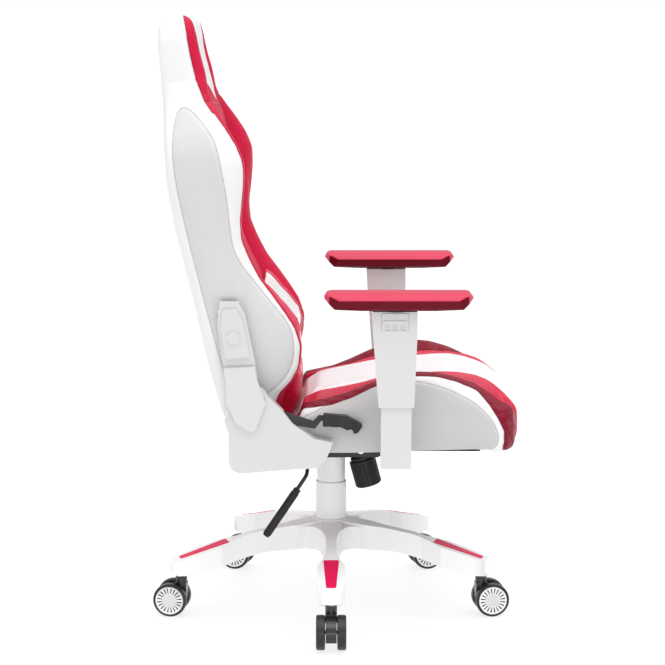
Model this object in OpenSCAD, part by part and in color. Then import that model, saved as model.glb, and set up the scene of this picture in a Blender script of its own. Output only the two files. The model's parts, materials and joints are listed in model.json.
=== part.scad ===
// Bucket gaming chair: five-leg base, twin-wheel casters, gas column, tilt mechanism,
// quilted seat, reclining winged backrest and height-adjustable armrests.
// Origin: on the floor, on the column axis. The chair faces -Y, the sitter's right is -X.

/* [Base] */
// Distance from the column axis to each caster stem
stem_r = 330; // [310:5:360]
// Height of the hub's top above the floor
hub_top = 184; // [178:1:196]
// Height of the hub
hub_h = 60; // [52:1:66]
// Outer radius of the hub
hub_r = 38; // [36:1:44]
// Half width of a leg at its neck
neck_half = 24; // [21:0.5:26]
// Half width of a leg at its widest
leg_half = 28.5; // [27:0.5:32]
// Half width of a leg at its waist
waist_half = 11; // [10:0.5:14]
// Height of a leg's outer end
tip_h = 31; // [27:1:36]
// Wall of the moulded base
base_wall = 4; // [3:0.5:5]
// Thickness of the coloured leg inserts
insert_t = 3; // [2:0.5:4]

/* [Casters] */
// Radius of a caster wheel
wheel_r = 35; // [30:1:37]
// Width of one caster wheel
wheel_w = 18; // [15:1:22]
// Width of the fork plate between the two wheels
fork_w = 22; // [18:1:26]
// Trail of the wheel axle behind the stem
trail = 20; // [17:1:24]
// Diameter of the caster stem
stem_d = 11; // [10:0.5:12]
// Diameter of the wheel axle
axle_d = 8; // [6:0.5:9]
// Number of slots in a wheel's face
slot_n = 20; // [12:1:24]
// Height of the leg's underside at the caster
stem_face = 87; // [84:1:92]

/* [Column] */
// Radius of the gas cylinder
gas_r = 25; // [24:0.5:26]
// Radius of the gas piston
piston_r = 14; // [13:0.5:15]
// Outer radius of the lower dust cover
cover_low_r = 32.5; // [31:0.5:35]
// Outer radius of the upper dust cover
cover_top_r = 30; // [28.5:0.5:30.5]
// Wall of the dust covers
cover_wall = 1.5; // [1:0.25:2]
// Height of the lower dust cover
cover_low_h = 80; // [78:1:88]

/* [Mechanism] */
// Underside of the tilt housing above the floor
mech_z = 326; // [325:1:330]
// Half width of the tilt housing
mech_half = 62; // [56:1:66]
// Sheet thickness of the tilt housing
mech_t = 3; // [2:0.5:4]
// Radius of the tilt pin
pin_r = 5; // [4:0.5:6]
// Diameter of the tension knob
knob_d = 56; // [50:1:60]
// Length of the tension knob
knob_l = 64; // [56:1:72]
// Forward lean of the tension knob
knob_lean = 15; // [10:1:20]
// Number of grip flutes round the tension knob
flute_n = 20; // [12:1:28]
// Radius of the lift lever's rod
rod_r = 4; // [3:0.5:4.5]

/* [Seat] */
// Underside of the seat frame above the floor
seat_z = 372; // [370:1:376]
// Half width of the seat frame
frame_half = 200; // [185:5:210]
// Section of the seat frame's square tube
tube = 20; // [16:1:20]
// Thickness of the tilt plate under the seat
plate_t = 4; // [3:0.5:5]
// Half width of the seat over its bolsters
seat_half = 250; // [244:1:250]
// Share of the half width that the centre pad takes
pad_share = 0.62; // [0.56:0.01:0.68]

/* [Recliner] */
// Recline axis behind the column axis
hinge_y = 163; // [160:1:168]
// Recline axis above the floor
hinge_z = 478; // [474:1:482]
// Lean of the backrest at rest
back_lean = 10; // [8:0.5:12]
// Radius of the recline pivot
pivot_r = 8; // [6:0.5:9]
// Thickness of the steel recliner plates
steel_t = 5; // [4:0.5:6]
// Radius of the cushions' clearance round the recline axis
sweep_r = 103; // [100:1:106]

/* [Backrest] */
// Half width of the backrest frame
back_frame_half = 178; // [165:1:185]
// Radius of the backrest frame's round tube
back_tube_r = 10; // [8:0.5:11]
// Height of the backrest frame above the recline axis
back_frame_h = 730; // [700:5:745]
// Height of the lumbar cushion's foot above the recline axis
lumbar_foot = 50; // [49:1:60]
// Height of the lumbar cushion
lumbar_h = 190; // [160:5:200]
// Half width of the lumbar cushion
lumbar_half = 146; // [120:1:150]

/* [Armrests] */
// Distance from the middle to each armrest post
arm_x = 330; // [325:1:345]
// Armrest post in front of the column axis
arm_y = 127; // [120:1:135]
// Width of the armrest post, front to back
post_w = 60; // [50:1:62]
// Thickness of the armrest post, side to side
post_t = 26; // [22:1:28]
// Top of the armrest sleeve above the floor
sleeve_top = 677; // [665:1:690]
// Height of the armrest sleeve
sleeve_h = 190; // [170:5:200]
// Length of an armrest pad
pad_l = 290; // [260:5:300]
// Width of an armrest pad
pad_w = 88; // [80:1:96]
// Thickness of an armrest pad
pad_t = 34; // [30:1:38]

/* [Hidden] */

$fn = 48;
eps = 0.01;
run = 0.05;      // radial clearance of a shaft that turns or slides in its hole
gap = 0.3;       // clearance between neighbours that only lie close
leg_n = 5;

white = "white";
crimson = "crimson";
black = "#202022";
steel = "#a8abb0";

// Directions of the legs, the first one to the sitter's right
function leg_angle(i) = 180 + 360 / leg_n * (i - 1);
// Direction in which each caster trails
caster_yaw = [180, -82, -75, 75, 82];

// Points followed by their mirror images across the first axis
function mirrored(pts) = concat(pts, [for (i = [len(pts) - 1:-1:0]) [pts[i][0], -pts[i][1]]]);

// Round bar between two points
module bar(p, q, r) {
    d = q - p;
    len = norm(d);
    translate(p)
        rotate([0, acos(d[2] / len), atan2(d[1], d[0])])
            cylinder(r = r, h = len);
}

function unit(v) = v / norm(v);

// Points along an arc about a centre
function arc(centre, r, from, to, steps) =
    [for (i = [0:steps]) let(a = from + (to - from) * i / steps)
        centre + r * [cos(a), sin(a)]];

// Bend of a round bar at a corner, between the directions it comes from and leaves by
module elbow(corner, come, leave, r, bend) {
    turn = acos(come * leave);
    normal = unit(cross(come, leave));
    inward = cross(normal, come);
    c = corner - come * bend * tan(turn / 2) + inward * bend;
    multmatrix([for (i = [0:2]) [-inward[i], come[i], normal[i], c[i]]])
        rotate_extrude(angle = turn) translate([bend, 0]) circle(r = r);
}

// Round bar bent at each inner point of a route
module bent_bar(pts, r, bend) {
    last = len(pts) - 1;
    lap = 0.2;                          // straight lengths reach this far into each bend
    dirs = [for (i = [0:last - 1]) unit(pts[i + 1] - pts[i])];
    cut = [for (i = [0:last]) i == 0 || i == last ? 0
        : bend * tan(acos(dirs[i - 1] * dirs[i]) / 2) - lap];
    for (i = [0:last - 1]) bar(pts[i] + dirs[i] * cut[i], pts[i + 1] - dirs[i] * cut[i + 1], r);
    for (i = [1:1:last - 1]) elbow(pts[i], dirs[i - 1], dirs[i], r - 0.05, bend);
}

// Flat shape drawn in the Y-Z plane and given a thickness from x0 to x1
module side_plate(x0, x1) {
    translate([x0, 0, 0]) rotate([90, 0, 90]) linear_extrude(x1 - x0) children();
}

// ---------------------------------------------------------------- base

leg_r = stem_r + 21;                    // reach of a leg
tip_z = stem_face + tip_h;
knee_r = 0.69 * stem_r;                 // where the insert starts
knee_z = tip_z + 32;
hub_foot = hub_top - hub_h;
leg_top = hub_top - 2;
web_r = 84;                             // reach of the webs between the legs
scoop_at = web_r / cos(atan(neck_half / 80)) * 1.13;
scoop_r = scoop_at * sin(180 / leg_n) - neck_half + 1.5;
rib_t = 3;
insert_len = stem_r + 5 - knee_r;
insert_slope = atan((knee_z - tip_z) / (leg_r - 8 - knee_r));

// Side view of a leg, shrunk by a wall for its hollow underside
module leg_side(wall = 0) {
    foot = wall > 0 ? hub_h : 0;
    polygon([
        [wall, leg_top - wall], [hub_r - 5, leg_top - wall],
        [115, leg_top - 10 - wall], [180, (leg_top + knee_z) / 2 - 3 - wall],
        [knee_r, knee_z - wall], [leg_r - 8 - wall, tip_z - wall], [leg_r - wall, tip_z - 8 - wall],
        [leg_r + 1 - wall, stem_face + 5 - foot], [leg_r - 8 - wall, stem_face - foot],
        [stem_r - 26, stem_face - foot], [0.72 * stem_r, stem_face + 16 - foot],
        [155, hub_foot - 4 - foot], [70, hub_foot - foot], [wall, hub_foot - foot],
    ]);
}

// Plan view of a leg, shrunk by a wall for its hollow underside
module leg_plan(wall = 0) {
    polygon(mirrored([
        [wall, neck_half - wall], [web_r - 4, neck_half - 2 - wall],
        [web_r + 20, (neck_half + waist_half) / 2 - 2 - wall], [web_r + 48, waist_half - wall],
        [knee_r - 24, waist_half - wall], [knee_r + 2, (waist_half + leg_half) / 2 - wall],
        [knee_r + 22, leg_half - wall], [stem_r - 15, leg_half - 1.5 - wall],
        [leg_r - 8 - wall, neck_half - 2 - wall], [leg_r - wall, neck_half - 7 - wall],
        [leg_r + 1 - wall, neck_half - 12 - wall],
    ]));
}

module leg_solid(wall = 0) {
    intersection() {
        rotate([90, 0, 0]) translate([0, 0, -50]) linear_extrude(100) leg_side(wall);
        translate([0, 0, -1]) linear_extrude(hub_top + 2) leg_plan(wall);
    }
}

// Hollow under a leg, leaving its ribs, the caster's boss and the hub standing
module leg_hollow() {
    difference() {
        leg_solid(base_wall);
        translate([0, -rib_t / 2, 0]) cube([stem_r, rib_t, hub_top]);
        for (r = [110, 170, 230, 285]) translate([r, -50, 0]) cube([rib_t, 100, hub_top]);
        translate([stem_r, 0, 0]) cylinder(d = stem_d + 14, h = hub_top);
        cylinder(r = hub_r - 1, h = hub_top);
    }
}

// Webs that join neighbouring legs in smooth scoops
module hub_web() {
    difference() {
        rotate_extrude() polygon([
            [0, hub_foot + 1], [web_r, hub_foot + 1], [web_r, hub_top - 14], [hub_r, hub_top - 6],
            [0, hub_top - 6],
        ]);
        for (i = [1:leg_n]) rotate(leg_angle(i) + 180 / leg_n)
            translate([scoop_at, 0, 0]) cylinder(r = scoop_r, h = hub_top + 1);
    }
}

// Plan of an insert, wide end inward
module insert_plan(clear = 0) {
    polygon(mirrored([
        [-clear, 13.5 + clear], [2.5, 16 + clear], [insert_len - 2.5, 10 + clear],
        [insert_len + clear, 7.5 + clear],
    ]));
}

// Puts children on the sloping top of a leg, at the insert's inner end
module on_insert() {
    translate([knee_r + 2, 0, knee_z]) rotate([0, insert_slope, 0]) children();
}

module star_base() {
    color(white) difference() {
        union() {
            for (i = [1:leg_n]) rotate(leg_angle(i)) leg_solid();
            hub_web();
            translate([0, 0, hub_foot - 6]) cylinder(r = hub_r - 3, h = hub_h + 2);
            translate([0, 0, hub_top - 8]) cylinder(r = hub_r, h = 8);
        }
        translate([0, 0, hub_foot - 7]) cylinder(r1 = gas_r - 1.2 + run, r2 = gas_r + run, h = hub_h + 8);
        for (i = [1:leg_n]) rotate(leg_angle(i)) {
            leg_hollow();
            translate([stem_r, 0, stem_face - 1]) cylinder(d = stem_d + 2 * run, h = tip_h - 3);
            on_insert() translate([0, 0, -insert_t + 0.5]) linear_extrude(20) insert_plan(0.15);
        }
    }
}

module leg_inserts() {
    color(crimson) for (i = [1:leg_n]) rotate(leg_angle(i)) on_insert()
        translate([0, 0, -insert_t + 0.5]) linear_extrude(insert_t) insert_plan();
}

// ---------------------------------------------------------------- column

cylinder_top = hub_top + 116;
cylinder_foot = hub_foot - 12;

module gas_cylinder() {
    color(black) difference() {
        rotate_extrude() polygon([
            [0, cylinder_foot], [gas_r - 3, cylinder_foot], [gas_r - 1.2, hub_foot - 7],
            [gas_r, hub_top + 1], [gas_r, cylinder_top], [0, cylinder_top],
        ]);
        translate([0, 0, hub_foot + 8]) cylinder(r = piston_r + run, h = cylinder_top);
    }
}

module lower_cover() {
    color(white) rotate_extrude() polygon([
        [gas_r + gap, hub_top], [cover_low_r - 0.5, hub_top], [cover_low_r, hub_top + 1],
        [cover_low_r, hub_top + cover_low_h - 1.5], [cover_low_r - 0.5, hub_top + cover_low_h],
        [cover_low_r - cover_wall, hub_top + cover_low_h], [cover_low_r - cover_wall, hub_top + 2],
        [gas_r + gap, hub_top + 2],
    ]);
}

piston_top = mech_z + 20;
taper = 0.9;                            // how much the piston narrows into its socket

module lift_piston() {
    color(steel) rotate_extrude() polygon([
        [0, hub_foot + 12], [piston_r, hub_foot + 12], [piston_r, mech_z - 4],
        [piston_r - taper, piston_top - 2], [piston_r - 2, piston_top - 1], [4, piston_top - 1],
        [4, piston_top], [0, piston_top],
    ]);
}

module upper_cover() {
    top = mech_z - 0.5;
    foot = hub_top + 3;
    color(white) rotate_extrude() polygon([
        [cover_top_r - cover_wall, foot], [cover_top_r, foot], [cover_top_r, top - 1],
        [cover_top_r - 1, top], [piston_r, top], [piston_r, top - 2.5],
        [cover_top_r - cover_wall, top - 2.5],
    ]);
}

// ---------------------------------------------------------------- casters

wheel_in = fork_w / 2 + 1;              // inner face of a wheel from the fork's middle
wheel_out = wheel_in + wheel_w;
rim_r = 0.83 * wheel_r;

// Puts children at a caster's stem, with x along its trail
module at_caster(n) {
    rotate(leg_angle(n)) translate([stem_r, 0, 0])
        rotate(caster_yaw[n - 1] - leg_angle(n)) children();
}

module caster_fork(n) {
    r = wheel_r - 6;
    color(black) at_caster(n) {
        cylinder_d = stem_d + 13;
        translate([0, 0, wheel_r + 14]) cylinder(d = cylinder_d, h = stem_face - wheel_r - 14 - gap);
        translate([0, 0, stem_face - 2]) cylinder(d = stem_d, h = tip_h - 4);
        intersection() {
            translate([trail, fork_w / 2, wheel_r]) rotate([90, 0, 0]) union() {
                cylinder(r = r, h = fork_w);
                translate([-trail - cylinder_d / 2, 0, 0]) cube([cylinder_d, 34, fork_w]);
            }
            translate([-40, -40, wheel_r - 15]) cube([100, 80, 80]);
        }
        translate([trail, wheel_out - 4, wheel_r]) rotate([90, 0, 0])
            cylinder(d = axle_d, h = 2 * (wheel_out - 4));
    }
}

// One wheel about its own axis, its slotted face outward
module wheel_shape() {
    difference() {
        rotate_extrude() polygon([
            [0, wheel_in], [wheel_r - 4, wheel_in], [wheel_r - 1, wheel_in + 1],
            [wheel_r, wheel_in + 3.5], [wheel_r, wheel_out - 3.5], [wheel_r - 1, wheel_out - 1],
            [wheel_r - 3, wheel_out], [rim_r, wheel_out - 0.5], [rim_r, wheel_out - 1.5],
            [0.38 * wheel_r, wheel_out - 1.5], [0.36 * wheel_r, wheel_out - 0.5],
            [0, wheel_out],
        ]);
        translate([0, 0, wheel_in - 1]) cylinder(d = axle_d + 2 * run, h = wheel_w - 2);
        for (i = [0:slot_n - 1]) rotate(360 / slot_n * (i + 0.5))
            translate([0, 0, wheel_out - 4.5]) linear_extrude(5) polygon([
                [0.42 * wheel_r, 0.7], [0.74 * wheel_r, 8.4 * wheel_r / slot_n / 10],
                [0.74 * wheel_r, -8.4 * wheel_r / slot_n / 10], [0.42 * wheel_r, -0.7],
            ]);
    }
}

module wheel(n, side) {
    color(black) at_caster(n) translate([trail, 0, wheel_r])
        rotate([-90 * side, 0, 0]) wheel_shape();
}

// ---------------------------------------------------------------- tilt mechanism

pin_y = -62;
pin_z = mech_z + 17;
plate_top = seat_z - 1.5;
lever_y = 46;
lever_z = mech_z + 9;
knob_z = mech_z - 10;

// Puts children on the knob's leaning axis, pointing down and forward
module on_knob() {
    translate([0, pin_y - 2, knob_z]) rotate([-knob_lean, 0, 0]) children();
}

module mechanism_housing() {
    color(black) difference() {
        union() {
            difference() {
                side_plate(-mech_half, mech_half) polygon([
                    [-104, mech_z + 4], [-98, mech_z], [54, mech_z], [62, mech_z + 6],
                    [62, mech_z + 12], [30, mech_z + 18], [-20, mech_z + 25],
                    [pin_y - 14, mech_z + 27], [-104, mech_z + 20],
                ]);
                translate([mech_t - mech_half, -99, mech_z + mech_t])
                    cube([2 * (mech_half - mech_t), 156, 60]);
            }
            translate([0, 0, mech_z]) cylinder(r = piston_r + 7, h = 17);
            on_knob() translate([0, 0, -6]) cylinder(r = pivot_r + 8, h = 24);
            on_knob() translate([0, 0, 8.5 - knob_l]) cylinder(r = pivot_r, h = knob_l);
        }
        translate([0, 0, mech_z - 4])
            cylinder(r1 = piston_r + run, r2 = piston_r - taper + run, h = piston_top + 2 - mech_z);
        translate([-mech_half - 1, pin_y, pin_z]) rotate([0, 90, 0])
            cylinder(r = pin_r + run, h = 2 * mech_half + 2);
        translate([-mech_half - 1, lever_y, lever_z]) rotate([0, 90, 0])
            cylinder(r = rod_r + 0.5, h = mech_t + 2);
        for (x = [-36, 36]) translate([x, 28, mech_z - 1]) cylinder(r = 9, h = mech_t + 2);
    }
}

module tilt_pin() {
    half = mech_half + 8;
    color(steel) translate([-half, pin_y, pin_z]) rotate([0, 90, 0]) {
        cylinder(r = pin_r, h = 2 * half);
        cylinder(r = pin_r + 3, h = 2.5);
    }
}

module tension_knob() {
    r = knob_d / 2;
    color(black) on_knob() difference() {
        rotate_extrude() polygon([
            [0, -knob_l], [r - 3, -knob_l], [r, 3 - knob_l], [r + 0.5, -8], [r - 1, -7],
            [r - 4, -6.5], [r - 4, 0], [0, 0],
        ]);
        translate([0, 0, 12 - knob_l]) cylinder(r = r - 6, h = knob_l);
        translate([0, 0, 8 - knob_l]) cylinder(r = pivot_r + run, h = 10);
        for (i = [0:flute_n - 1]) rotate(360 / flute_n * i)
            translate([r + 1, 0, 2 - knob_l]) cylinder(r = 2, h = knob_l - 14, $fn = 16);
    }
}

// Round wire wound in a helix round the knob's axis
module tension_spring() {
    turns = 5;
    per_turn = 12;
    sides = 6;
    wire = 1.8;
    r = pivot_r + 6;
    low = 12 + wire + gap - knob_l;
    pitch = (-6 - wire - gap - low) / turns;
    rings = turns * per_turn;
    pts = [for (i = [0:rings]) for (j = [0:sides - 1])
        let(a = 360 * i / per_turn, b = 360 * j / sides, q = r + wire * cos(b))
        [q * cos(a), q * sin(a), low + pitch * i / per_turn + wire * sin(b)]];
    sides_list = [for (i = [0:rings - 1]) for (j = [0:sides - 1])
        let(k = (j + 1) % sides)
        each [[i * sides + j, (i + 1) * sides + k, (i + 1) * sides + j],
              [i * sides + j, i * sides + k, (i + 1) * sides + k]]];
    ends = [[for (j = [sides - 1:-1:0]) j], [for (j = [0:sides - 1]) rings * sides + j]];
    color(steel) on_knob() polyhedron(points = pts, faces = concat(sides_list, ends));
}

grip_from = [-200, 68, mech_z - 35];
grip_to = [-204, 131, mech_z - 128];
rod_bend = [-198, lever_y + 4, lever_z - 16];

module lift_lever_rod() {
    color(black) bent_bar([
        [-28, lever_y, lever_z + 8], [12 - mech_half, lever_y, lever_z],
        [-mech_half - 12, lever_y, lever_z], rod_bend,
        grip_from + 0.3 * (grip_to - grip_from),
    ], rod_r, 2.5 * rod_r);
}

module lift_lever_grip() {
    along = grip_to - grip_from;
    rod_tip = grip_from + 0.3 * along;
    color(black) difference() {
        union() {
            bar(grip_from, grip_from + 0.1 * along, 7.5);
            bar(grip_from + 0.08 * along, grip_to, 8.5);
            bar(grip_to - 0.01 * along, grip_to + 0.04 * along, 7);
        }
        bar(rod_bend, rod_tip + unit(rod_tip - rod_bend), rod_r + run);
    }
}

// ---------------------------------------------------------------- seat structure

rail_x = frame_half - tube / 2;         // middle of the side rails
frame_front = -300;
frame_rear = 70;
cross_y = [-80, 44];                    // cross members that carry the tilt plate
frame_top = seat_z + tube;
bolt_r = 4;
arm_bolts = [-18, 18];
foot_bolts = [32, 60];

module seat_frame() {
    color(black) difference() {
        union() {
            difference() {
                translate([-frame_half, frame_front, seat_z])
                    cube([2 * frame_half, frame_rear - frame_front, tube]);
                translate([tube - frame_half, frame_front + tube, seat_z - 1])
                    cube([2 * (frame_half - tube), frame_rear - frame_front - 2 * tube, tube + 2]);
            }
            for (y = cross_y) translate([-frame_half + 1, y - tube / 2, seat_z])
                cube([2 * frame_half - 2, tube, tube]);
        }
        all_bolts() cylinder(r = bolt_r + 0.1, h = 20);
    }
}

// Elastic belts across the frame, under the pad
module seat_straps() {
    color(black) for (i = [0:4]) translate([-frame_half, frame_front + 22 + i * 70, frame_top])
        cube([2 * frame_half, 44, 1.7]);
}

// Puts children at each bolt's seat: its x, y and the plate face that its head meets
module all_bolts() {
    for (x = [-80, 80], y = cross_y) translate([x, y, plate_top - plate_t]) children();
    for (s = [-1, 1]) {
        for (y = arm_bolts) translate([s * rail_x, y - arm_y, plate_top - 6]) children();
        for (y = foot_bolts) translate([s * rail_x, y, plate_top - 6]) children();
    }
}

module seat_bolts() {
    color(steel) all_bolts() {
        cylinder(r = bolt_r, h = 18);
        translate([0, 0, -4]) cylinder(r = 7.5, h = 4, $fn = 6);
    }
}

module seat_underside() {
    color(black) difference() {
        translate([-frame_half - 5, frame_front - 2, plate_top])
            cube([2 * frame_half + 10, frame_rear - frame_front + 2, 1.5]);
        all_bolts() cylinder(r = bolt_r + 0.5, h = 20);
    }
}

module tilt_plate() {
    low = plate_top - plate_t;
    ear_in = mech_half + 0.5;
    color(black) difference() {
        union() {
            translate([-100, cross_y[0] - 14, low])
                cube([200, cross_y[1] - cross_y[0] + 28, plate_t]);
            for (s = [-1, 1]) scale([s, 1, 1]) side_plate(ear_in, ear_in + 3) {
                translate([pin_y, pin_z]) circle(r = pin_r + 7);
                polygon([
                    [pin_y - 12, pin_z], [pin_y + 12, pin_z], [pin_y + 30, low + 1],
                    [pin_y - 24, low + 1],
                ]);
            }
        }
        translate([-90, pin_y, pin_z]) rotate([0, 90, 0]) cylinder(r = pin_r + run, h = 180);
        translate([0, 0, low - 1]) cylinder(r = 30, h = plate_t + 2);
        all_bolts() cylinder(r = bolt_r + 0.1, h = 20);
    }
}

// ---------------------------------------------------------------- bucket cushions

// Half of a bucket cross-section, from the middle of the padded face round the bolster
// to the middle of the far face: [share of half width, weight of centre, weight of crest]
bucket_half = [
    [0, 1, 0], [0.26, 1, 0], [0.48, 0.97, 0.03], [0.58, 0.75, 0.25], [0.66, 0.4, 0.6],
    [0.74, 0.12, 0.88], [0.82, 0, 1], [0.9, 0, 0.97], [0.955, 0, 0.87], [0.99, 0, 0.7],
    [1, 0, 0.45], [1, 0, 0.2], [0.985, 0, 0.07], [0.94, 0, 0.01], [0.86, 0, 0],
    [0.45, 0, 0], [0, 0, 0],
];

// One ring in the x-t plane; t runs from the far face to the padded face
function bucket_ring(half, far, centre, crest) = [
    for (p = bucket_half) [half * p[0], far + (centre - far) * p[1] + (crest - far) * p[2]],
    for (i = [len(bucket_half) - 2:-1:1]) let(p = bucket_half[i])
        [-half * p[0], far + (centre - far) * p[1] + (crest - far) * p[2]],
];

// Solid through rings of equally many points, each a list of 3-D points
module skin(rings) {
    n = len(rings[0]);
    last = len(rings) - 1;
    middles = [for (ring = [rings[0], rings[last]]) (ring[0] + ring[n / 2]) / 2];
    points = concat([for (ring = rings) each ring], middles);
    walls = [for (i = [0:last - 1]) for (j = [0:n - 1])
        let(k = (j + 1) % n)
        each [[i * n + j, i * n + k, (i + 1) * n + k], [i * n + j, (i + 1) * n + k, (i + 1) * n + j]]];
    caps = [for (j = [0:n - 1]) let(k = (j + 1) % n, end = (last + 1) * n)
        each [[end, k, j], [end + 1, last * n + j, last * n + k]]];
    polyhedron(points = points, faces = concat(walls, caps));
}

// Seat sections, front to rear: [y, half width, underside, centre, crest]
seat_sections = [
    [-381, 0.5, 400, 438, 434], [-378, 0.66, 384, 452, 448], [-370, 0.79, 373, 468, 456],
    [-356, 0.88, 370, 486, 464], [-340, 0.94, 370, 500, 462], [-318, 0.975, 375, 510, 482],
    [-290, 0.99, 378.5, 514, 504], [-255, 1, 377.5, 514, 520], [-215, 1, 376, 512, 532],
    [-175, 1, 375, 508, 535], [-130, 1, 373, 504, 528], [-85, 1, 372, 498, 512],
    [-40, 0.995, 371, 489, 490], [0, 0.99, 371, 481, 475], [45, 0.985, 371, 472, 466],
    [95, 0.98, 371, 460, 462],
];

module seat_form() {
    skin([for (i = [len(seat_sections) - 1:-1:0]) let(s = seat_sections[i])
        [for (p = bucket_ring(seat_half * s[1], s[2], s[3], s[4])) [p[0], s[0], p[1]]]]);
}

// Zone of the centre pad, seen from above
module seat_centre_zone() {
    translate([0, 0, 360]) linear_extrude(200)
        square([2 * seat_half * pad_share, 1000], center = true);
}

// Space that the seat frame and the turning backrest need
module seat_hollow() {
    translate([-frame_half - 8, frame_front - 6, 360])
        cube([2 * frame_half + 16, 420, frame_top + 2 - 360]);
    translate([-300, hinge_y, hinge_z]) rotate([0, 90, 0]) cylinder(r = sweep_r + 1.5, h = 600);
}

module seat_pad() {
    color(white) difference() {
        intersection() {
            seat_form();
            seat_centre_zone();
        }
        seat_hollow();
    }
}

module seat_bolster(side) {
    color(white) difference() {
        intersection() {
            seat_form();
            translate([side > 0 ? 0 : -300, -400, 360]) cube([300, 520, 220]);
        }
        seat_centre_zone();
        seat_hollow();
    }
}

// ---------------------------------------------------------------- recliner plates

strap_in = seat_half + 2;               // inner face of the backrest's steel strap
bracket_in = strap_in + steel_t + 1;    // inner face of the seat's steel bracket
cover_out = bracket_in + 28;            // outer face of the seat's side cover

// Puts children on the backrest: origin at the recline axis, z up the leaning back
module on_back() {
    translate([0, hinge_y, hinge_z]) rotate([-back_lean, 0, 0]) children();
}

module hinge_circle(r) {
    translate([hinge_y, hinge_z]) circle(r = r);
}

module side_bracket(side) {
    color(steel) scale([side, 1, 1]) difference() {
        union() {
            side_plate(bracket_in, bracket_in + steel_t) {
                hinge_circle(32);
                polygon([
                    [28, plate_top - 6], [150, plate_top - 6], [188, 392], [192, hinge_z - 12],
                    [140, hinge_z + 22], [112, hinge_z - 22], [70, 424], [28, 402],
                ]);
            }
            translate([rail_x - 14, 18, plate_top - 6])
                cube([bracket_in + steel_t - rail_x + 14, 54, 6]);
            translate([strap_in - 1.5, hinge_y, hinge_z]) rotate([0, 90, 0])
                cylinder(r = pivot_r, h = cover_out - strap_in - 2);
        }
        all_bolts() cylinder(r = bolt_r + 0.1, h = 20);
    }
}

// Outline of the seat's side cover, round the recline axis and down to the frame
module side_cover_outline() {
    polygon(concat(arc([hinge_y, hinge_z], 42, 150, -10, 16), [
        [hinge_y + 49, hinge_z - 28], [204, 424], [204, 362], [196, 348], [183, 342],
        [70, 351], [28, 353], [11, 368], [-4, 405], [33, 412], [76, 442], [98, 470],
    ]));
}

module side_cover(side, lever_slot) {
    inner = bracket_in + 0.3;
    color(white) scale([side, 1, 1]) difference() {
        side_plate(inner, cover_out) side_cover_outline();
        side_plate(inner - 1, cover_out - 3) offset(delta = -3) side_cover_outline();
        translate([inner - 1, hinge_y, hinge_z]) rotate([0, 90, 0])
            cylinder(r = pivot_r + 1, h = 40);
        if (lever_slot) side_plate(lever_in - 1.5, lever_in + steel_t + 1.5) polygon([
            [hinge_y - 34, hinge_z + 34], [0, hinge_z + 34], [0, 400], [30, 400],
            [88, 424], [hinge_y - 34, hinge_z - 24],
        ]);
    }
}

lever_in = bracket_in + steel_t + 3;    // inner face of the recline lever

module recline_lever() {
    color(black) scale([-1, 1, 1]) difference() {
        side_plate(lever_in, lever_in + steel_t) {
            hinge_circle(15);
            polygon([
                [hinge_y, hinge_z + 14], [84, 462], [36, 446], [24, 458], [-28, 450], [-30, 440],
                [20, 446], [32, 430], [88, 440], [hinge_y, hinge_z - 14],
            ]);
        }
        translate([lever_in - 1, hinge_y, hinge_z]) rotate([0, 90, 0])
            cylinder(r = pivot_r + run, h = 10);
    }
}

module recline_grip() {
    color(black) scale([-1, 1, 1]) difference() {
        side_plate(lever_in - 7, lever_in + steel_t + 7) difference() {
            polygon([
                [15, 461], [-31, 457], [-60, 440], [-62, 436], [-54, 424], [-48, 421],
                [-20, 434], [17, 436],
            ]);
            for (p = [[-38, 424], [-16, 429], [4, 430]]) translate(p) circle(r = 6);
        }
        side_plate(lever_in - gap, lever_in + steel_t + gap) polygon([
            [24, 460], [-29.5, 451.5], [-31.5, 438], [24, 446],
        ]);
    }
}

// ---------------------------------------------------------------- backrest

frame_v = 18;                           // plane of the backrest frame, behind the recline axis
shoulder = 500;
neck = 615;
head_half = 92;
cross_w = 300;                          // height of the cross tube
boss_at = [72, 165];                    // heights of the strap's two bosses
boss_r = 9;
boss_v = 12;

// Route of the backrest's tube hoop, from the middle of its foot all the way round
function hoop_half(s) = [
    [s * back_frame_half, frame_v, hoop_foot], [s * back_frame_half, frame_v, shoulder],
    [s * head_half, frame_v, neck], [s * head_half, frame_v, back_frame_h],
];
hoop_foot = -8;
hoop_route = concat([[0, frame_v, hoop_foot]], hoop_half(1),
    [for (i = [3:-1:0]) hoop_half(-1)[i]], [[0, frame_v, hoop_foot]]);
hoop_bend = 24;

module back_frame() {
    color(black) on_back() {
        bent_bar(hoop_route, back_tube_r, hoop_bend);
        bar([-back_frame_half, frame_v, cross_w], [back_frame_half, frame_v, cross_w],
            back_tube_r - 2);
        for (s = [-1, 1], w = boss_at)
            bar([s * back_frame_half, boss_v, w], [s * strap_in, boss_v, w], boss_r);
    }
}

// Back sections, foot to head: [height, half width, rear face, centre, crest],
// depths counted to the rear from the recline axis
back_sections = [
    [-84, 185, 40, -50, -30], [-60, 200, 54, -82, -40], [-30, 218, 60, -98, -48],
    [0, 232, 63, -103, -62], [22, 238, 64, -106, -92], [48, 242, 66, -62, -112],
    [90, 245, 69, -60, -125], [130, 246, 70, -58, -119], [165, 246, 72, -54, -104],
    [200, 246, 73, -48, -87], [240, 245, 74, -38, -66], [280, 244, 77, -26, -54],
    [320, 245, 81, -18, -46], [360, 248, 83, -15, -50], [400, 253, 83, -16, -62],
    [440, 259, 83, -19, -72], [475, 262, 82, -22, -76], [510, 258, 79, -25, -68],
    [545, 240, 75, -28, -54], [580, 208, 71, -30, -38], [615, 176, 68, -31, -24],
    [650, 160, 66, -31, -14], [695, 156, 63, -31, -8], [735, 151, 58, -29, -7],
    [762, 138, 52, -24, -6], [780, 116, 43, -14, 2], [788, 94, 32, 0, 12],
];

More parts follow.
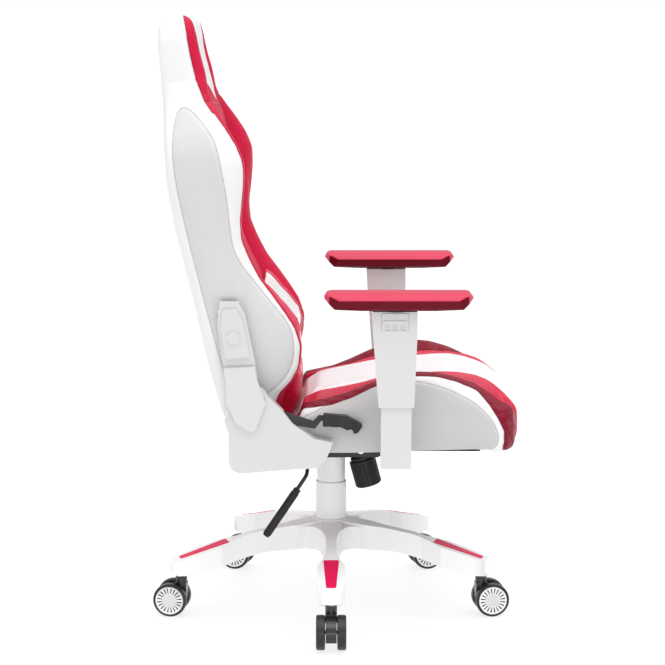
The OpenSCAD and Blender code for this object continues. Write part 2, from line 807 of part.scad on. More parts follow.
module back_form() {
    skin([for (i = [len(back_sections) - 1:-1:0]) let(s = back_sections[i])
        [for (p = bucket_ring(s[1], -s[2], -s[3], -s[4])) [p[0], -p[1], s[0]]]]);
}

// Zone of the centre cushion, seen from the front
module back_centre_zone() {
    rotate([90, 0, 0]) translate([0, 0, -150]) linear_extrude(300) polygon(concat(
        [for (s = back_sections) [s[1] * pad_share, s[0]]],
        [[back_sections[len(back_sections) - 1][1] * pad_share, 800],
         [-back_sections[len(back_sections) - 1][1] * pad_share, 800]],
        [for (i = [len(back_sections) - 1:-1:0]) [-back_sections[i][1] * pad_share, back_sections[i][0]]]));
}

// Square channels in the foam, round the frame's tubes
module frame_channels() {
    c = back_tube_r + 2;
    d = boss_r + 0.5;
    slant = [back_frame_half - head_half, neck - shoulder];
    for (s = [-1, 1]) scale([s, 1, 1]) {
        translate([back_frame_half - c, frame_v - c, hoop_foot - c])
            cube([2 * c, 2 * c, shoulder - hoop_foot + c + 4]);
        translate([back_frame_half, frame_v, shoulder]) rotate([0, -atan2(slant[0], slant[1]), 0])
            translate([-c, -c, -4]) cube([2 * c, 2 * c, norm(slant) + 8]);
        translate([head_half - c, frame_v - c, neck - 4])
            cube([2 * c, 2 * c, back_frame_h - neck + c + 4]);
        for (w = boss_at) translate([back_frame_half, boss_v - d, w - d])
            cube([120, 2 * d, 2 * d]);
        for (p = [[back_frame_half - hoop_bend, hoop_foot], [head_half - hoop_bend, back_frame_h - hoop_bend]])
            translate([p[0] - 4, frame_v - c, p[1] - 2]) cube([hoop_bend, 2 * c, hoop_bend + 4]);
    }
    for (p = [[back_frame_half, hoop_foot], [back_frame_half, cross_w], [head_half, back_frame_h]])
        translate([-p[0], frame_v - c, p[1] - c]) cube([2 * p[0], 2 * c, 2 * c]);
}

// Everything of the back below the recline axis stays inside the sweep radius
module back_foot_trim() {
    difference() {
        translate([-300, -160, -120]) cube([600, 320, 120]);
        translate([-301, 0, 0]) rotate([0, 90, 0]) cylinder(r = sweep_r, h = 602);
    }
}

module back_cushion() {
    color(crimson) on_back() difference() {
        intersection() {
            back_form();
            back_centre_zone();
        }
        frame_channels();
        back_foot_trim();
    }
}

module back_bolster(side) {
    color(white) on_back() difference() {
        intersection() {
            back_form();
            translate([side > 0 ? 0 : -300, -200, -120]) cube([300, 400, 940]);
        }
        back_centre_zone();
        frame_channels();
        back_foot_trim();
    }
}

// Lumbar cushion's rounded section at height t from 0 to 1
function lumbar_ring(t, half, rear, front) = [for (a = [0:20:340])
    let(c = cos(a), s = sin(a))
    [half * sign(c) * pow(abs(c), 0.5),
     (rear + front) / 2 + (rear - front) / 2 * sign(s) * pow(abs(s), 0.7),
     lumbar_foot + lumbar_h * t]];

module lumbar_pad() {
    rear = -64.5;
    steps = [[0, 0.86, 24], [0.05, 0.94, 42], [0.15, 0.99, 58], [0.3, 1, 64], [0.5, 1, 60],
        [0.7, 0.98, 44], [0.86, 0.93, 28], [0.96, 0.84, 16], [1, 0.74, 6]];
    color(white) on_back() skin([for (i = [len(steps) - 1:-1:0]) let(s = steps[i])
        lumbar_ring(s[0], lumbar_half * s[1], rear + 6 * s[0], rear + 6 * s[0] - s[2])]);
}

module hinge_strap(side) {
    color(steel) on_back() scale([side, 1, 1]) difference() {
        side_plate(strap_in, strap_in + steel_t) {
            circle(r = 30);
            polygon([[-24, 0], [28, 0], [30, 60], [28, 196], [-14, 196], [-22, 120], [-24, 60]]);
        }
        translate([strap_in - 1, 0, 0]) rotate([0, 90, 0]) cylinder(r = pivot_r + run, h = 20);
        for (w = boss_at) translate([strap_in - 1, boss_v, w]) rotate([0, 90, 0])
            cylinder(r = 3.3, h = 20);
    }
}

strap_out = strap_in + steel_t;

module strap_cover(side) {
    cap = cover_out + 0.5;
    color(white) on_back() scale([side, 1, 1]) difference() {
        union() {
            side_plate(strap_out, strap_out + 18) polygon([
                [-27, 50], [37, 50], [35, 110], [33, 170], [20, 214], [-16, 207],
                [-25, 180], [-26, 124], [-27, 88],
            ]);
            side_plate(strap_out + 17, strap_out + 22) polygon([
                [-20, 96], [30, 100], [27, 165], [16, 200], [-10, 196], [-19, 170],
            ]);
            side_plate(strap_out, cap + 9) polygon([[-26, 50], [36, 50], [35, 84], [-26, 76]]);
            side_plate(cap, cap + 9) polygon([
                [-26, 52], [36, 52], [42, 14], [31, -27], [6, -49], [-5, -48], [-35, 2],
            ]);
            translate([strap_out + 21, 6, 140]) rotate([0, 90, 0]) cylinder(r = 13, h = 4);
        }
        side_plate(strap_out - 1, strap_out + 15) polygon([
            [-23, 60], [33, 60], [31, 110], [29, 168], [18, 209], [-13, 203], [-22, 178],
        ]);
    }
}

// ---------------------------------------------------------------- armrests

sleeve_foot = sleeve_top - sleeve_h;
disc_t = 3;
button_z = sleeve_top - 20;
post_top = button_z - 36;               // clear of the button's travel

// Puts children at an armrest post on the floor plane
module at_arm(side) {
    scale([side, 1, 1]) translate([arm_x, -arm_y, 0]) children();
}

module arm_bracket(side) {
    low = plate_top - 6;
    color(white) difference() {
        at_arm(side) {
            translate([rail_x - arm_x - 16, -28, low]) cube([arm_x - rail_x + 16 + post_t / 2, 56, 6]);
            translate([-post_t / 2, -post_w / 2, low]) cube([post_t, post_w, post_top - low]);
        }
        all_bolts() cylinder(r = bolt_r + 0.1, h = 20);
    }
}

module arm_sleeve(side) {
    wall = 5;
    top_half = post_w / 2 + 17;
    foot_half = post_w / 2 + wall;
    thick_top = post_t / 2 + 9;
    thick_foot = post_t / 2 + wall;
    color(white) at_arm(side) difference() {
        intersection() {
            side_plate(-60, 60) polygon([
                [1 - foot_half, sleeve_foot], [foot_half - 1, sleeve_foot],
                [foot_half, sleeve_foot + 3], [top_half - 2, button_z - 28],
                [top_half, sleeve_top - 5], [top_half, sleeve_top], [7 - top_half, sleeve_top],
                [7 - top_half, button_z - 28], [-foot_half, sleeve_foot + 3],
            ]);
            rotate([90, 0, 0]) translate([0, 0, -60]) linear_extrude(120) polygon([
                [-thick_foot, sleeve_foot], [thick_foot, sleeve_foot],
                [thick_top, button_z - 20], [thick_top, sleeve_top], [-thick_top, sleeve_top],
                [-thick_top, button_z - 20],
            ]);
        }
        translate([-post_t / 2 - 0.4, -post_w / 2 - 0.4, sleeve_foot - 1])
            cube([post_t + 0.8, post_w + 0.8, sleeve_h - 9]);
        translate([0, -26.3 + 3, button_z - 16.3]) cube([60, 52.6, 33.6]);
        translate([0, 0, sleeve_top - 12]) cylinder(r = 10 + run, h = 20);
    }
}

module arm_button(side) {
    face = post_t / 2 + 9;
    color(white) at_arm(side) difference() {
        union() {
            translate([face - 7, -26 + 3, button_z - 16]) cube([8.5, 52, 33]);
            translate([face - 7, -20, button_z - 3]) cube([10.5, 46, 6]);
        }
        for (y = [-12, 3, 18]) translate([face + 4, y, button_z - 18]) cylinder(r = 6, h = 12);
    }
}

module arm_disc(side) {
    color(black) at_arm(side) {
        translate([0, 0, sleeve_top]) cylinder(r = 30, h = disc_t);
        translate([0, 0, sleeve_top - 9]) cylinder(r = 10, h = 10);
        translate([-10, -25, sleeve_top + 1]) cube([20, 50, disc_t + 7]);
    }
}

// Pad about its post: bevelled on every edge, bellied below
module arm_pad(side) {
    low = sleeve_top + disc_t + gap;
    top = low + pad_t;
    half_l = pad_l / 2;
    half_w = pad_w / 2;
    color(crimson) at_arm(side) translate([0, -4, 0]) difference() {
        intersection() {
            side_plate(-60, 60) polygon([
                [4 - half_l, low + 14], [22 - half_l, low + 5], [-70, low], [70, low],
                [half_l - 22, low + 5], [half_l - 4, low + 14], [half_l, low + 22],
                [half_l - 6, top - 3], [half_l - 14, top], [14 - half_l, top], [6 - half_l, top - 3],
                [-half_l, low + 22],
            ]);
            translate([0, 0, low - 1]) linear_extrude(pad_t + 2) polygon([
                [-half_w, 30 - half_l], [-half_w + 8, 10 - half_l], [-half_w + 26, -half_l],
                [half_w - 26, -half_l], [half_w - 8, 10 - half_l], [half_w, 30 - half_l],
                [half_w, half_l - 30], [half_w - 8, half_l - 10], [half_w - 26, half_l],
                [-half_w + 26, half_l], [-half_w + 8, half_l - 10], [-half_w, half_l - 30],
            ]);
            rotate([90, 0, 0]) translate([0, 0, -200]) linear_extrude(400) polygon([
                [-half_w + 12, low], [half_w - 12, low], [half_w - 2, low + 8],
                [half_w, low + 16], [half_w - 6, top - 6], [half_w - 20, top],
                [-half_w + 20, top], [-half_w + 6, top - 6], [-half_w, low + 16],
                [-half_w + 2, low + 8],
            ]);
        }
        translate([-10.4, -62, low - 1]) cube([20.8, 132, 9.5]);
    }
}

// ---------------------------------------------------------------- nodes

star_base();
leg_inserts();
gas_cylinder();
lower_cover();
caster_fork(1);  // caster_fork_1
caster_fork(2);  // caster_fork_2
caster_fork(3);  // caster_fork_3
caster_fork(4);  // caster_fork_4
caster_fork(5);  // caster_fork_5
wheel(1, 1);  // wheel_1_left
wheel(1, -1);  // wheel_1_right
wheel(2, 1);  // wheel_2_left
wheel(2, -1);  // wheel_2_right
wheel(3, 1);  // wheel_3_left
wheel(3, -1);  // wheel_3_right
wheel(4, 1);  // wheel_4_left
wheel(4, -1);  // wheel_4_right
wheel(5, 1);  // wheel_5_left
wheel(5, -1);  // wheel_5_right
lift_piston();
upper_cover();
mechanism_housing();
tilt_pin();
tension_knob();
tension_spring();
lift_lever_rod();
lift_lever_grip();
tilt_plate();
seat_frame();
seat_straps();
seat_pad();
seat_bolster(1);  // seat_bolster_left
seat_bolster(-1);  // seat_bolster_right
seat_underside();
side_bracket(1);  // side_bracket_left
side_bracket(-1);  // side_bracket_right
side_cover(1, false);  // side_cover_left
side_cover(-1, true);  // side_cover_right
recline_lever();
recline_grip();
seat_bolts();
back_frame();
back_cushion();
back_bolster(1);  // back_bolster_left
back_bolster(-1);  // back_bolster_right
lumbar_pad();
hinge_strap(1);  // hinge_strap_left
hinge_strap(-1);  // hinge_strap_right
strap_cover(1);  // strap_cover_left
strap_cover(-1);  // strap_cover_right
arm_bracket(1);  // arm_bracket_left
arm_bracket(-1);  // arm_bracket_right
arm_sleeve(1);  // arm_sleeve_left
arm_sleeve(-1);  // arm_sleeve_right
arm_button(1);  // arm_button_left
arm_button(-1);  // arm_button_right
arm_disc(1);  // arm_disc_left
arm_disc(-1);  // arm_disc_right
arm_pad(1);  // arm_pad_left
arm_pad(-1);  // arm_pad_right
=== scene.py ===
"""A gaming chair on five casters: moulded base, gas lift, tilt mechanism, bucket seat,
reclining winged backrest with a lumbar cushion, and armrests that rise, turn and slide."""
import json
import math

import bpy
import numpy as np
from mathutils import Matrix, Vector


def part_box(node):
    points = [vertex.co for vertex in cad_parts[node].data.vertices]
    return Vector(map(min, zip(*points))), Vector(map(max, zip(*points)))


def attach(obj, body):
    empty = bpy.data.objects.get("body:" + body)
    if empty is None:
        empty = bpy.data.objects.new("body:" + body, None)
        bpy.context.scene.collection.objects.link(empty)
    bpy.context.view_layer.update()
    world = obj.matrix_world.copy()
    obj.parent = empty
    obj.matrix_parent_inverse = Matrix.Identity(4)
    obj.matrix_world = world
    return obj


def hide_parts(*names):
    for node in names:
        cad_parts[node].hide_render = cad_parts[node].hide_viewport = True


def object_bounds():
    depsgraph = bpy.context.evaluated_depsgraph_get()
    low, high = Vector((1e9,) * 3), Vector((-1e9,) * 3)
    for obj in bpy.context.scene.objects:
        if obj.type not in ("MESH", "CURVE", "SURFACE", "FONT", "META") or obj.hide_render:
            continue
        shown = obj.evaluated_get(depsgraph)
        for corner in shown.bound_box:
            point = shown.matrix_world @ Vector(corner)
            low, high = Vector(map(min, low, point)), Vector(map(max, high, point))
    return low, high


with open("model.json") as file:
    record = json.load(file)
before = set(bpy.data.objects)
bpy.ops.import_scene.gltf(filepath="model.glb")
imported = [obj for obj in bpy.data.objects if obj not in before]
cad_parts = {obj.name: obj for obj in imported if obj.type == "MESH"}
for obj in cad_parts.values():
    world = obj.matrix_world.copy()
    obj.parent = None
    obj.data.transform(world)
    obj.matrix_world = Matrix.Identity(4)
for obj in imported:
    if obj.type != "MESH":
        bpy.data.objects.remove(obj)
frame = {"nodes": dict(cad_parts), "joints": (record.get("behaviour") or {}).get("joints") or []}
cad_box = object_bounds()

scene = bpy.context.scene
nodes = frame["nodes"]
joints = {j["name"]: j for j in frame["joints"]}
bpy.ops.object.select_all(action="DESELECT")

# ---------------------------------------------------------------- camera, floor and lights
# The camera looks square at the sitter's right side, from the height of the chair's head and
# a little downwards. The chair stands on a pale floor that gives off some light itself, under
# one wide soft sun, with low fills beside it and a softbox behind, in a room that shows as
# plain white.
bpy.ops.object.camera_add(
    location=(-4.342, 0, 1.269), rotation=(math.radians(81), 0, math.radians(-90))
)
camera = bpy.context.object
camera.data.lens = 113.0
camera.data.sensor_width = 36
camera.data.shift_x = 0.002
camera.data.clip_end = 8000
scene.camera = camera
scene.view_settings.view_transform = "Standard"
scene.view_settings.look = "None"


def finish_nodes(name, base, rough, metallic=0.0, coat=0.0, specular=0.5):
    """A new material with its shader, and the object-space coordinates for its patterns."""
    mat = bpy.data.materials.new(name)
    mat.use_nodes = True
    tree = mat.node_tree
    shader = tree.nodes["Principled BSDF"]
    shader.inputs["Base Color"].default_value = (*base, 1)
    shader.inputs["Roughness"].default_value = rough
    shader.inputs["Metallic"].default_value = metallic
    shader.inputs["Coat Weight"].default_value = coat
    shader.inputs["Specular IOR Level"].default_value = specular
    place = tree.nodes.new("ShaderNodeTexCoord").outputs["Object"]
    return mat, tree, shader, place


def node(tree, kind, ins=(), **settings):
    """Adds a shader node, sets it, and links or sets its first inputs."""
    made = tree.nodes.new("ShaderNode" + kind)
    for key, value in settings.items():
        setattr(made, key, value)
    for key, value in dict(ins).items():
        if isinstance(value, bpy.types.NodeSocket):
            tree.links.new(value, made.inputs[key])
        else:
            made.inputs[key].default_value = value
    return made


def mottled(tree, place, low, high, scale, detail=3.0, rough=0.55):
    """A colour that wanders softly between two tones over the surface."""
    noise = node(tree, "TexNoise", {"Vector": place, "Scale": scale, "Detail": detail, "Roughness": rough})
    ramp = node(tree, "ValToRGB", {"Fac": noise.outputs["Fac"]})
    ramp.color_ramp.elements[0].position = 0.3
    ramp.color_ramp.elements[0].color = (*low, 1)
    ramp.color_ramp.elements[1].position = 0.7
    ramp.color_ramp.elements[1].color = (*high, 1)
    return ramp.outputs["Color"]


bpy.ops.mesh.primitive_circle_add(vertices=96, radius=3000, fill_type="NGON", location=(0, 0, 0))
floor = bpy.context.object
floor.name = "Studio_floor"
paint, tree, shader, place = finish_nodes("studio_floor", (0.18, 0.18, 0.18), 0.6, specular=0.1)
cast = mottled(tree, place, (0.178, 0.178, 0.178), (0.182, 0.182, 0.182), 0.8)
tree.links.new(cast, shader.inputs["Base Color"])
shader.inputs["Emission Color"].default_value = (1, 1, 1, 1)
shader.inputs["Emission Strength"].default_value = 0.8
floor.data.materials.append(paint)

world = bpy.data.worlds.new("white_room")
scene.world = world
world.use_nodes = True
room = world.node_tree
glow = room.nodes["Background"]
glow.inputs["Color"].default_value = (1, 1, 1, 1)
up = node(room, "SeparateXYZ", {"Vector": room.nodes.new("ShaderNodeTexCoord").outputs["Generated"]})
ceiling = node(room, "MapRange", {
    "Value": up.outputs["Z"], "From Min": 0.0, "From Max": 0.9, "To Min": 0.26, "To Max": 1.2,
})
room.links.new(ceiling.outputs["Result"], glow.inputs["Strength"])
backdrop = node(room, "Background", {"Color": (1, 1, 1, 1), "Strength": 1.0})
seen = node(room, "MixShader", {
    0: room.nodes.new("ShaderNodeLightPath").outputs["Is Camera Ray"],
    1: glow.outputs["Background"], 2: backdrop.outputs["Background"],
})
room.links.new(seen.outputs["Shader"], room.nodes["World Output"].inputs["Surface"])

bpy.ops.object.light_add(type="SUN", rotation=(math.radians(14), math.radians(-6), 0))
sun = bpy.context.object
sun.name = "Soft_sun"
sun.data.energy = 1.7
sun.data.angle = math.radians(70)
for name, at, towards, wide, high, power in (
    ("Right_fill", (-1.9, 0, 0.22), (0, 0, 0.22), 2.6, 0.3, 7),
    ("Left_fill", (1.9, 0, 0.22), (0, 0, 0.22), 2.6, 0.3, 7),
    ("Rear_softbox", (-0.2, 2.6, 2.9), (0, 0, 0.9), 2.0, 1.2, 10),
):
    bpy.ops.object.light_add(type="AREA", location=at)
    lamp = bpy.context.object
    lamp.name = name
    lamp.data.shape = "RECTANGLE"
    lamp.data.size, lamp.data.size_y = wide, high
    lamp.data.energy = power
    lamp.visible_camera = False
    lamp.rotation_euler = (Vector(towards) - lamp.location).to_track_quat("-Z", "Y").to_euler()

# ---------------------------------------------------------------- star base
# One injection-moulded nylon star with five hollow, ribbed legs, a hub that grips the gas
# cylinder's taper, and a tinted insert clipped into the sloping top of each leg.


def use(piece):
    """Selects one piece alone."""
    bpy.ops.object.select_all(action="DESELECT")
    bpy.context.view_layer.objects.active = piece
    piece.select_set(True)


def edited(piece, operator, **settings):
    """Runs one edit-mode operator on the whole of a piece."""
    use(piece)
    bpy.ops.object.mode_set(mode="EDIT")
    bpy.ops.mesh.select_all(action="SELECT")
    operator(**settings)
    bpy.ops.object.mode_set(mode="OBJECT")


def worked(piece, kind, **settings):
    """Adds one modifier to a piece and applies it."""
    use(piece)
    modifier = piece.modifiers.new(kind.lower(), kind)
    for key, value in settings.items():
        setattr(modifier, key, value)
    bpy.ops.object.modifier_apply(modifier=modifier.name)


def copy_of(name, part):
    """A piece with its own copy of a node's mesh, its loose triangles merged."""
    piece = bpy.data.objects.new(name, nodes[part].data.copy())
    scene.collection.objects.link(piece)
    piece.data.materials.clear()
    edited(piece, bpy.ops.mesh.remove_doubles, threshold=0.00001)
    return piece


def rounded(piece, width, segments=2, angle=32):
    """Softens a moulded or pressed piece's sharp edges, as its tool leaves them."""
    edited(piece, bpy.ops.mesh.dissolve_limited, angle_limit=math.radians(0.6))
    worked(piece, "BEVEL", width=width, segments=segments, limit_method="ANGLE",
           angle_limit=math.radians(angle), use_clamp_overlap=True, harden_normals=False)
    bpy.ops.object.shade_smooth_by_angle(angle=math.radians(angle))
    worked(piece, "WEIGHTED_NORMAL", keep_sharp=True)
    return piece


def fitted(part, name, body, finish, width=0.0008, segments=2, angle=32):
    """A rounded copy of a hard node, on the node's body, in place of the node."""
    piece = rounded(copy_of(name, part), width, segments, angle)
    piece.data.materials.append(finish)
    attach(piece, body)
    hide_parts(part)
    return piece


def varied(tree, place, low, high, scale, detail=2.0):
    """A number that wanders softly between two values over the surface."""
    noise = node(tree, "TexNoise", {"Vector": place, "Scale": scale, "Detail": detail})
    spread = node(tree, "MapRange", {
        "Value": noise.outputs["Fac"], "From Min": 0.3, "From Max": 0.7, "To Min": low, "To Max": high,
    })
    return spread.outputs["Result"]


def moulding(name, base, rough, grain=650.0, relief=0.12, tone=0.025, coat=0.0, specular=0.5,
             wander=1.0):
    """Moulded plastic: spark-eroded grain, faint flow marks, and gloss that varies a little."""
    mat, tree, shader, place = finish_nodes(name, base, rough, coat=coat, specular=specular)
    low = [max(c * (1 - tone), 0) for c in base]
    high = [min(c * (1 + tone), 1) for c in base]
    tree.links.new(mottled(tree, place, low, high, 14), shader.inputs["Base Color"])
    gloss = varied(tree, place, rough - 0.05 * wander, rough + 0.07 * wander, 45)
    tree.links.new(gloss, shader.inputs["Roughness"])
    pits = node(tree, "TexNoise", {"Vector": place, "Scale": grain, "Detail": 2.0, "Roughness": 0.6})
    skin = node(tree, "Bump", {"Height": pits.outputs["Fac"], "Strength": relief, "Distance": 0.0004})
    tree.links.new(skin.outputs["Normal"], shader.inputs["Normal"])
    return mat


# The base's white is a lighter copy of the covers' white plastic: painted light, lifting the legs, hub and
# column covers out of the shade near the floor.
base_white_painted_light = moulding("white_nylon_painted_light", (0.92, 0.92, 0.93), 0.34, grain=420, relief=0.01,
                      tone=0.003, wander=0.2)
crimson_gloss = moulding("crimson_plastic", (0.72, 0.008, 0.085), 0.34, grain=500, relief=0.05,
                         specular=0.2)
fitted("star_base", "Star_base", "base", base_white_painted_light, width=0.0022, segments=3, angle=24)
fitted("leg_inserts", "Leg_inserts", "base", crimson_gloss, width=0.0012)

# ---------------------------------------------------------------- casters
# Five twin-wheel casters: a black nylon hood and stem with a steel axle, and on each side a
# wheel with a soft black tread, a white slotted rim and a grey hub cap.

TREAD_DEPTH = 0.007                     # behind this much of a wheel's outer face, all is tread
TREAD_START = 0.84                      # and outside this share of its radius
CAP_SHARE = 0.375                       # the hub cap's share of the radius
SLOT_DEPTH = 0.0026                     # what lies deeper in the rim is a slot
caster_black = moulding("black_nylon", (0.012, 0.012, 0.013), 0.28, grain=500, relief=0.05,
                        tone=0.2, coat=0.3)
tread = moulding("tread_rubber", (0.010, 0.010, 0.011), 0.42, grain=900, relief=0.15, tone=0.2)
rim_white = moulding("rim_white", (0.86, 0.86, 0.87), 0.32, grain=500, relief=0.05, tone=0.02)
# The slots' deep faces are painted near black: painted shadow in the recesses of the white rim.
rim_shadow = moulding("rim_slot_painted_shadow", (0.035, 0.035, 0.037), 0.5, grain=500, relief=0.05, tone=0.1)
hub_cap = moulding("hub_cap", (0.68, 0.68, 0.69), 0.3, grain=500, relief=0.05, tone=0.05, coat=0.2)


def along_and_out(points, centre, along):
    """How far points lie along a wheel's axle from its centre, and out from the axle."""
    depths = [(point - centre).dot(along) for point in points]
    return depths, [(point - centre - along * depth).length for point, depth in zip(points, depths)]


for k in range(1, 6):
    fitted(f"caster_fork_{k}", f"Caster_fork_{k}", f"caster_{k}", caster_black)
    for side in ("left", "right"):
        part = f"wheel_{k}_{side}"
        wheel = rounded(copy_of(f"Wheel_{k}_{side}", part), 0.0004, 2, 30)
        for finish in (tread, rim_white, rim_shadow, hub_cap):
            wheel.data.materials.append(finish)
        axle = joints[part]
        centre, along = Vector(axle["pos_m"]), Vector(axle["axis"]).normalized()
        depths, radii = along_and_out([v.co for v in wheel.data.vertices], centre, along)
        outer_face = max(abs(depth) for depth in depths)
        wheel_radius = max(radii)
        depths, outs = along_and_out([face.center for face in wheel.data.polygons], centre, along)
        for face, depth, out in zip(wheel.data.polygons, depths, outs):
            behind = outer_face - abs(depth)
            share = out / wheel_radius
            if behind > TREAD_DEPTH or share > TREAD_START:
                face.material_index = 0
            elif share < CAP_SHARE:
                face.material_index = 3
            # faces deep in a slot take the painted shadow
            elif behind > SLOT_DEPTH:
                face.material_index = 2
            else:
                face.material_index = 1
        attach(wheel, part)
        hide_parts(part)

# ---------------------------------------------------------------- gas column
# A black steel gas cylinder in the hub, its bright piston, and two telescoping white covers.


def metal(name, base, rough, metallic=1.0, grain=1400.0, relief=0.05, tone=0.08):
    """Bare or coated steel: fine drawn grain and a gloss that wanders along the sheet."""
    mat, tree, shader, place = finish_nodes(name, base, rough, metallic=metallic)
    drawn = node(tree, "Mapping", {"Vector": place, "Scale": (1, 1, 0.08)})
    low = [c * (1 - tone) for c in base]
    high = [min(c * (1 + tone), 1) for c in base]
    tree.links.new(mottled(tree, drawn.outputs["Vector"], low, high, 260), shader.inputs["Base Color"])
    tree.links.new(varied(tree, place, rough - 0.06, rough + 0.08, 60), shader.inputs["Roughness"])
    scratch = node(tree, "TexNoise", {"Vector": drawn.outputs["Vector"], "Scale": grain, "Detail": 2.0})
    skin = node(tree, "Bump", {"Height": scratch.outputs["Fac"], "Strength": relief, "Distance": 0.0002})
    tree.links.new(skin.outputs["Normal"], shader.inputs["Normal"])
    return mat


black_coat = metal("black_powder_coat", (0.012, 0.012, 0.013), 0.46, metallic=0.0, tone=0.15)
bright_steel = metal("bright_steel", (0.62, 0.62, 0.63), 0.22)
fitted("gas_cylinder", "Gas_cylinder", "base", black_coat, width=0.0006)
fitted("lower_cover", "Lower_cover", "base", base_white_painted_light, width=0.0006)
fitted("lift_piston", "Lift_piston", "lift", bright_steel, width=0.0004)
fitted("upper_cover", "Upper_cover", "lift", base_white_painted_light, width=0.0006)

# ---------------------------------------------------------------- tilt mechanism
# A pressed black steel housing under the seat, with its pin and spring, a fluted tension
# knob at the front, and a bent rod lever with a moulded grip that works the gas lift.

black_moulding = moulding("black_moulding", (0.013, 0.013, 0.0135), 0.4, grain=800, relief=0.08,
                          tone=0.2, specular=0.28)
fitted("mechanism_housing", "Mechanism_housing", "mechanism", black_coat, width=0.0006)
fitted("tilt_pin", "Tilt_pin", "mechanism", bright_steel, width=0.0003)
fitted("tension_spring", "Tension_spring", "mechanism", bright_steel, width=0.0002)
fitted("tension_knob", "Tension_knob", "tension_knob", black_moulding, width=0.0006)
fitted("lift_lever_rod", "Lift_lever_rod", "lift_lever", black_coat, width=0.0003)
fitted("lift_lever_grip", "Lift_lever_grip", "lift_lever", black_moulding, width=0.0008)

# ---------------------------------------------------------------- seat frame
# A welded square-tube frame with elastic straps, bolted to the tilt plate, over a black
# cloth underside; white steel arm brackets reach out from it.

webbing = moulding("elastic_webbing", (0.016, 0.016, 0.017), 0.85, grain=1600, relief=0.5, tone=0.25)
lining = moulding("underside_cloth", (0.014, 0.014, 0.015), 0.9, grain=1300, relief=0.5, tone=0.2)
# The brackets' white coat is as dark as the covers' copy of white: painted shade on white steel.
white_coat_painted_shade = metal("white_powder_coat_painted_shade", (0.63, 0.625, 0.632), 0.36, metallic=0.0, relief=0.02, tone=0.008)
fitted("tilt_plate", "Tilt_plate", "seat", black_coat, width=0.0005)
fitted("seat_frame", "Seat_frame", "seat", black_coat, width=0.0006)
fitted("seat_straps", "Seat_straps", "seat", webbing, width=0.0003)
fitted("seat_bolts", "Seat_bolts", "seat", bright_steel, width=0.0003)
fitted("seat_underside", "Seat_underside", "seat", lining, width=0.0004)
for side in ("left", "right"):
    fitted(f"arm_bracket_{side}", f"Arm_bracket_{side}", "seat", white_coat_painted_shade,
           width=0.0012, segments=3)

# ---------------------------------------------------------------- seat cushion
# Cold-cure foam under stitched leatherette: a wide centre pad with a rolled band along each
# side, and two quilted bolsters whose outer faces are plain. The covers pull the foam in at
# every seam, so each pad is swelled as cloth from its moulded shape and its seams laid after.
WHITE = (0.83, 0.828, 0.832)
CRIMSON = (0.63, 0.006, 0.052)
CLOTH_STEPS = 20


def coords(piece):
    """The piece's points as an array."""
    flat = np.empty(len(piece.data.vertices) * 3)
    piece.data.vertices.foreach_get("co", flat)
    return flat.reshape(-1, 3)


def put(piece, points):
    """Moves the piece's points to an array's rows."""
    piece.data.vertices.foreach_set("co", np.asarray(points, dtype=np.float32).ravel())
    piece.data.update()


def relax(piece, times):
    """Evens out a cover's surface."""
    edited(piece, bpy.ops.mesh.vertices_smooth, factor=0.5, repeat=times)


def stuffed(name, part, voxel, most, held, shape=None):
    """Foam under a tight cover: the node's shape remeshed, drawn in at its seams, swelled
    under pressure with no point moving more than most, and smoothed."""
    piece = copy_of(name, part)
    worked(piece, "REMESH", mode="VOXEL", voxel_size=voxel)
    relax(piece, 3)
    rest = coords(piece)
    if shape:
        rest = shape(rest)
        put(piece, rest)
    pins = piece.vertex_groups.new(name="held")
    fixed = [int(i) for i in np.nonzero(held(rest))[0]]
    if fixed:
        pins.add(fixed, 1.0, "REPLACE")
    cover = piece.modifiers.new("cover", "CLOTH")
    cover.settings.quality = 5
    cover.settings.mass = 0.35
    cover.settings.tension_stiffness = 18
    cover.settings.compression_stiffness = 18
    cover.settings.bending_stiffness = 1.2
    cover.settings.use_pressure = True
    cover.settings.uniform_pressure_force = 4
    cover.settings.effector_weights.gravity = 0
    cover.settings.vertex_group_mass = "held"
    cover.collision_settings.use_collision = False
    cover.point_cache.frame_start = 1
    cover.point_cache.frame_end = CLOTH_STEPS
    for step in range(1, CLOTH_STEPS + 1):
        scene.frame_set(step)
    use(piece)
    bpy.ops.object.modifier_apply(modifier=cover.name)
    scene.frame_set(1)
    piece.vertex_groups.clear()
    moved = coords(piece) - rest
    far = np.linalg.norm(moved, axis=1, keepdims=True)
    put(piece, rest + moved * np.minimum(1, most / np.maximum(far, 1e-9)))
    relax(piece, 2)
    worked(piece, "SUBSURF", levels=1, render_levels=1)
    bpy.ops.object.shade_smooth()
    return piece


def tailored(piece, tint, seam, panel, shade=None, pull=0.0016, width=0.009):
    """Draws the foam in along the seams, and keeps on the cover which colour each panel is,
    how far the nearest seam lies, where it is on its panel, and the painted shade on the side panels."""
    points = coords(piece)
    normals = np.empty(len(points) * 3)
    piece.data.vertices.foreach_get("normal", normals)
    near = np.clip(1 - seam / width, 0, 1) ** 2
    put(piece, points - normals.reshape(-1, 3) * (pull * near)[:, None])
    shade = 0 * tint if shade is None else shade
    for key, values, kind, field in (
        ("tint", tint, "FLOAT", "value"), ("seam", seam, "FLOAT", "value"),
        ("shade", shade, "FLOAT", "value"), ("panel", panel, "FLOAT_VECTOR", "vector"),
    ):
        layer = piece.data.attributes.new(key, kind, "POINT")
        layer.data.foreach_set(field, np.asarray(values, np.float32).ravel())


def blend(tree, factor, first, second):
    """Two colours mixed by a factor."""
    return node(tree, "Mix", {0: factor, 6: first, 7: second}, data_type="RGBA").outputs[2]


def maths(tree, operation, *values):
    """One operation on a shader's numbers."""
    return node(tree, "Math", dict(enumerate(values)), operation=operation).outputs[0]


